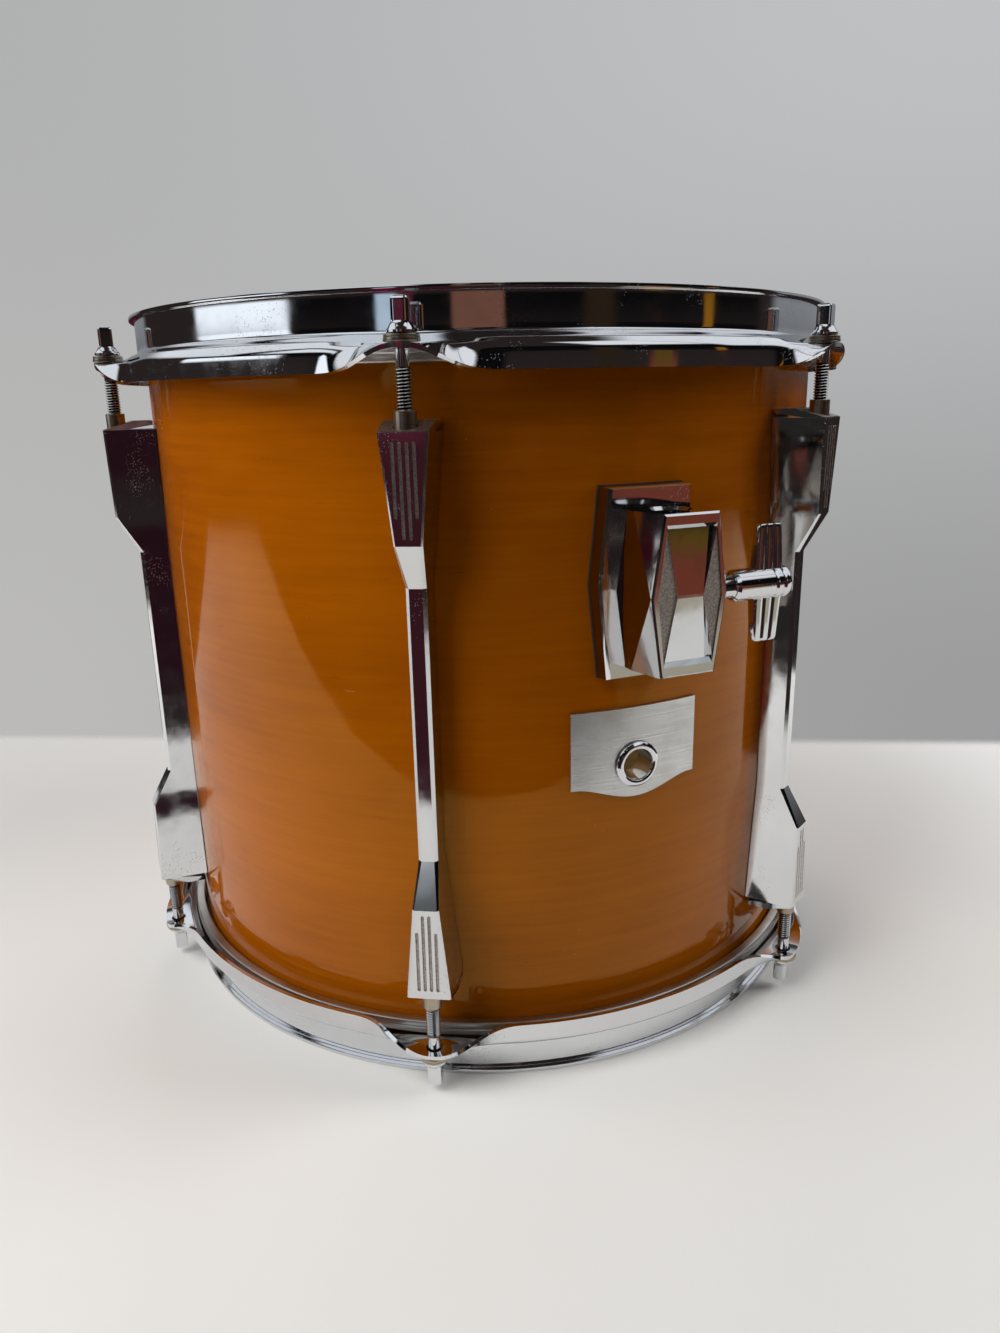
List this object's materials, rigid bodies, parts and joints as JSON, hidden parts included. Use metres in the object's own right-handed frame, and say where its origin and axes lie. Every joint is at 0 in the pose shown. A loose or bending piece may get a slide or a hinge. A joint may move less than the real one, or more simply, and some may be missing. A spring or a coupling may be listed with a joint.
{
  "type": "rack tom drum",
  "caption": "Rack tom drum: amber lacquered wood shell, two heads under pressed chrome hoops, full-length lugs, tension rods, and a clamp bracket with a wing bolt for a tom arm.",
  "frame": {"origin": "centre of the batter head's playing surface", "axes": "+Z along the drum's axis, out of the batter head; the tom bracket, badge and vent face -Y"},
  "size_m": [0.348, 0.3499, 0.2994],
  "materials": {
    "lacquered_wood": "amber gloss lacquer over bent wood",
    "coated_film": "white rough coating on polyester film",
    "clear_film": "clear polyester film",
    "aluminium": "plain rolled channel",
    "chromed_steel": "chrome with fine pitting",
    "chromed_casting": "chromed die casting",
    "plain_steel": "dulled plating",
    "gasket": "dark fibre rubber",
    "badge_plate": "bare satin plate, unmarked"
  },
  "bodies": {
    "drum": {"shell": "lacquered_wood", "batter_head": "coated_film", "batter_flesh_hoop": "aluminium", "batter_hoop": "chromed_steel", "batter_swivel_nut_1": "plain_steel", "batter_swivel_nut_2": "plain_steel", "batter_swivel_nut_3": "plain_steel", "batter_swivel_nut_4": "plain_steel", "batter_swivel_nut_5": "plain_steel", "batter_swivel_nut_6": "plain_steel", "resonant_head": "clear_film", "resonant_flesh_hoop": "aluminium", "resonant_hoop": "chromed_steel", "resonant_swivel_nut_1": "plain_steel", "resonant_swivel_nut_2": "plain_steel", "resonant_swivel_nut_3": "plain_steel", "resonant_swivel_nut_4": "plain_steel", "resonant_swivel_nut_5": "plain_steel", "resonant_swivel_nut_6": "plain_steel", "lug_1": "chromed_casting", "lug_2": "chromed_casting", "lug_3": "chromed_casting", "lug_4": "chromed_casting", "lug_5": "chromed_casting", "lug_6": "chromed_casting", "tom_bracket": "chromed_casting", "bracket_gasket": "gasket", "bracket_backing_plate": "plain_steel", "bracket_screw_1": "plain_steel", "bracket_screw_2": "plain_steel", "badge": "badge_plate", "vent_grommet": "chromed_steel"},
    "batter_washer_1": {"batter_rod_washer_1": "plain_steel"},
    "batter_rod_1": {"batter_tension_rod_1": "chromed_steel"},
    "batter_washer_2": {"batter_rod_washer_2": "plain_steel"},
    "batter_rod_2": {"batter_tension_rod_2": "chromed_steel"},
    "batter_washer_3": {"batter_rod_washer_3": "plain_steel"},
    "batter_rod_3": {"batter_tension_rod_3": "chromed_steel"},
    "batter_washer_4": {"batter_rod_washer_4": "plain_steel"},
    "batter_rod_4": {"batter_tension_rod_4": "chromed_steel"},
    "batter_washer_5": {"batter_rod_washer_5": "plain_steel"},
    "batter_rod_5": {"batter_tension_rod_5": "chromed_steel"},
    "batter_washer_6": {"batter_rod_washer_6": "plain_steel"},
    "batter_rod_6": {"batter_tension_rod_6": "chromed_steel"},
    "resonant_washer_1": {"resonant_rod_washer_1": "plain_steel"},
    "resonant_rod_1": {"resonant_tension_rod_1": "chromed_steel"},
    "resonant_washer_2": {"resonant_rod_washer_2": "plain_steel"},
    "resonant_rod_2": {"resonant_tension_rod_2": "chromed_steel"},
    "resonant_washer_3": {"resonant_rod_washer_3": "plain_steel"},
    "resonant_rod_3": {"resonant_tension_rod_3": "chromed_steel"},
    "resonant_washer_4": {"resonant_rod_washer_4": "plain_steel"},
    "resonant_rod_4": {"resonant_tension_rod_4": "chromed_steel"},
    "resonant_washer_5": {"resonant_rod_washer_5": "plain_steel"},
    "resonant_rod_5": {"resonant_tension_rod_5": "chromed_steel"},
    "resonant_washer_6": {"resonant_rod_washer_6": "plain_steel"},
    "resonant_rod_6": {"resonant_tension_rod_6": "chromed_steel"},
    "clamp_shoe": {"clamp_shoe": "plain_steel"},
    "wing_bolt": {"wing_bolt": "chromed_casting"}
  },
  "joints": [
    {"name": "batter_rod_1_lift", "type": "slide", "parent": "drum", "child": "batter_washer_1", "axis": [0, 0, 1], "range_m": [0, 0.01799]},
    {"name": "batter_rod_1_turn", "type": "hinge", "parent": "batter_washer_1", "child": "batter_rod_1", "pos_m": [0.08375, -0.14506, -0.00595], "axis": [0, 0, 1], "range_deg": [0, 6120]},
    {"name": "batter_rod_2_lift", "type": "slide", "parent": "drum", "child": "batter_washer_2", "axis": [0, 0, 1], "range_m": [0, 0.01799]},
    {"name": "batter_rod_2_turn", "type": "hinge", "parent": "batter_washer_2", "child": "batter_rod_2", "pos_m": [0.1675, 0, -0.00595], "axis": [0, 0, 1], "range_deg": [0, 6120]},
    {"name": "batter_rod_3_lift", "type": "slide", "parent": "drum", "child": "batter_washer_3", "axis": [0, 0, 1], "range_m": [0, 0.01799]},
    {"name": "batter_rod_3_turn", "type": "hinge", "parent": "batter_washer_3", "child": "batter_rod_3", "pos_m": [0.08375, 0.14506, -0.00595], "axis": [0, 0, 1], "range_deg": [0, 6120]},
    {"name": "batter_rod_4_lift", "type": "slide", "parent": "drum", "child": "batter_washer_4", "axis": [0, 0, 1], "range_m": [0, 0.01799]},
    {"name": "batter_rod_4_turn", "type": "hinge", "parent": "batter_washer_4", "child": "batter_rod_4", "pos_m": [-0.08375, 0.14506, -0.00595], "axis": [0, 0, 1], "range_deg": [0, 6120]},
    {"name": "batter_rod_5_lift", "type": "slide", "parent": "drum", "child": "batter_washer_5", "axis": [0, 0, 1], "range_m": [0, 0.01799]},
    {"name": "batter_rod_5_turn", "type": "hinge", "parent": "batter_washer_5", "child": "batter_rod_5", "pos_m": [-0.1675, 0, -0.00595], "axis": [0, 0, 1], "range_deg": [0, 6120]},
    {"name": "batter_rod_6_lift", "type": "slide", "parent": "drum", "child": "batter_washer_6", "axis": [0, 0, 1], "range_m": [0, 0.01799]},
    {"name": "batter_rod_6_turn", "type": "hinge", "parent": "batter_washer_6", "child": "batter_rod_6", "pos_m": [-0.08375, -0.14506, -0.00595], "axis": [0, 0, 1], "range_deg": [0, 6120]},
    {"name": "resonant_rod_1_lift", "type": "slide", "parent": "drum", "child": "resonant_washer_1", "axis": [0, 0, -1], "range_m": [0, 0.01799]},
    {"name": "resonant_rod_1_turn", "type": "hinge", "parent": "resonant_washer_1", "child": "resonant_rod_1", "pos_m": [0.08375, -0.14506, -0.27455], "axis": [0, 0, -1], "range_deg": [0, 6120]},
    {"name": "resonant_rod_2_lift", "type": "slide", "parent": "drum", "child": "resonant_washer_2", "axis": [0, 0, -1], "range_m": [0, 0.01799]},
    {"name": "resonant_rod_2_turn", "type": "hinge", "parent": "resonant_washer_2", "child": "resonant_rod_2", "pos_m": [0.1675, 0, -0.27455], "axis": [0, 0, -1], "range_deg": [0, 6120]},
    {"name": "resonant_rod_3_lift", "type": "slide", "parent": "drum", "child": "resonant_washer_3", "axis": [0, 0, -1], "range_m": [0, 0.01799]},
    {"name": "resonant_rod_3_turn", "type": "hinge", "parent": "resonant_washer_3", "child": "resonant_rod_3", "pos_m": [0.08375, 0.14506, -0.27455], "axis": [0, 0, -1], "range_deg": [0, 6120]},
    {"name": "resonant_rod_4_lift", "type": "slide", "parent": "drum", "child": "resonant_washer_4", "axis": [0, 0, -1], "range_m": [0, 0.01799]},
    {"name": "resonant_rod_4_turn", "type": "hinge", "parent": "resonant_washer_4", "child": "resonant_rod_4", "pos_m": [-0.08375, 0.14506, -0.27455], "axis": [0, 0, -1], "range_deg": [0, 6120]},
    {"name": "resonant_rod_5_lift", "type": "slide", "parent": "drum", "child": "resonant_washer_5", "axis": [0, 0, -1], "range_m": [0, 0.01799]},
    {"name": "resonant_rod_5_turn", "type": "hinge", "parent": "resonant_washer_5", "child": "resonant_rod_5", "pos_m": [-0.1675, 0, -0.27455], "axis": [0, 0, -1], "range_deg": [0, 6120]},
    {"name": "resonant_rod_6_lift", "type": "slide", "parent": "drum", "child": "resonant_washer_6", "axis": [0, 0, -1], "range_m": [0, 0.01799]},
    {"name": "resonant_rod_6_turn", "type": "hinge", "parent": "resonant_washer_6", "child": "resonant_rod_6", "pos_m": [-0.08375, -0.14506, -0.27455], "axis": [0, 0, -1], "range_deg": [0, 6120]},
    {"name": "clamp_slide", "type": "slide", "parent": "drum", "child": "clamp_shoe", "axis": [-1, 0, 0], "range_m": [0, 0.0035]},
    {"name": "wing_bolt_turn", "type": "hinge", "parent": "clamp_shoe", "child": "wing_bolt", "pos_m": [0.0092, -0.172, -0.09275], "axis": [-1, 0, 0], "range_deg": [0, 1009]}
  ],
  "couplings": [
    {"joint": "batter_rod_1_turn", "follows": "batter_rod_1_lift", "rad_per_m": 5936.9},
    {"joint": "batter_rod_2_turn", "follows": "batter_rod_2_lift", "rad_per_m": 5936.9},
    {"joint": "batter_rod_3_turn", "follows": "batter_rod_3_lift", "rad_per_m": 5936.9},
    {"joint": "batter_rod_4_turn", "follows": "batter_rod_4_lift", "rad_per_m": 5936.9},
    {"joint": "batter_rod_5_turn", "follows": "batter_rod_5_lift", "rad_per_m": 5936.9},
    {"joint": "batter_rod_6_turn", "follows": "batter_rod_6_lift", "rad_per_m": 5936.9},
    {"joint": "resonant_rod_1_turn", "follows": "resonant_rod_1_lift", "rad_per_m": 5936.9},
    {"joint": "resonant_rod_2_turn", "follows": "resonant_rod_2_lift", "rad_per_m": 5936.9},
    {"joint": "resonant_rod_3_turn", "follows": "resonant_rod_3_lift", "rad_per_m": 5936.9},
    {"joint": "resonant_rod_4_turn", "follows": "resonant_rod_4_lift", "rad_per_m": 5936.9},
    {"joint": "resonant_rod_5_turn", "follows": "resonant_rod_5_lift", "rad_per_m": 5936.9},
    {"joint": "resonant_rod_6_turn", "follows": "resonant_rod_6_lift", "rad_per_m": 5936.9},
    {"joint": "wing_bolt_turn", "follows": "clamp_slide", "rad_per_m": 5026.5}
  ]
}
